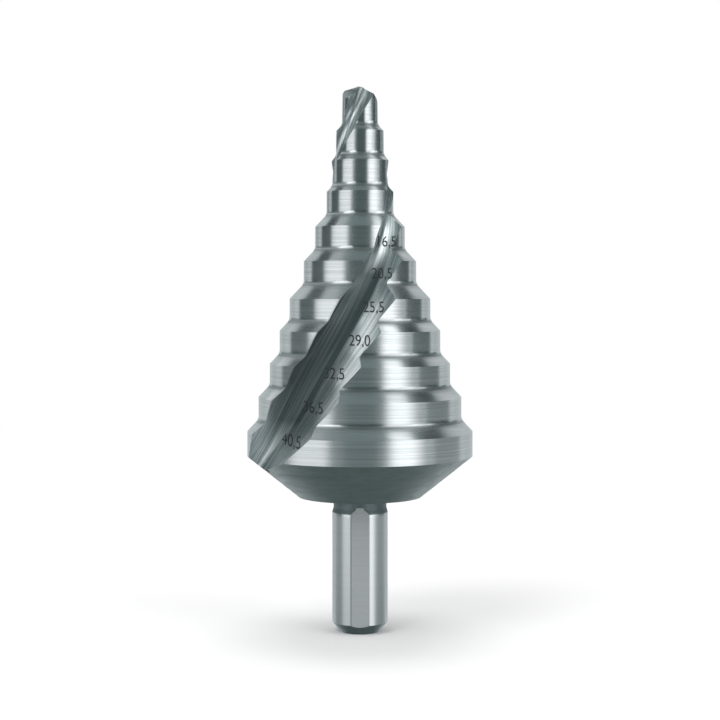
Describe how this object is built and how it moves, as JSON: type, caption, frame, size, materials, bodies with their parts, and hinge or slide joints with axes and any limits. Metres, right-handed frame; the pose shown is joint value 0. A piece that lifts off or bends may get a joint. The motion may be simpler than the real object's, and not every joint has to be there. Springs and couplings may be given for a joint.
{
  "type": "step drill",
  "caption": "One-piece step drill with two spiral flutes and a three-flat round shank, for drilling and widening round holes in sheet metal.",
  "frame": {"origin": "centre of the flat end face of the shank", "axes": "+Z along the drill's axis from the shank end to the point; -Y is the side seen in the picture, which one flat of the shank faces"},
  "size_m": [0.0405, 0.0404, 0.0979],
  "materials": {
    "ground_steel": "finely ground bright steel; the back of the head and the neck keep a dark satin skin"
  },
  "bodies": {
    "root": {"step_drill": "ground_steel"}
  },
  "joints": []
}
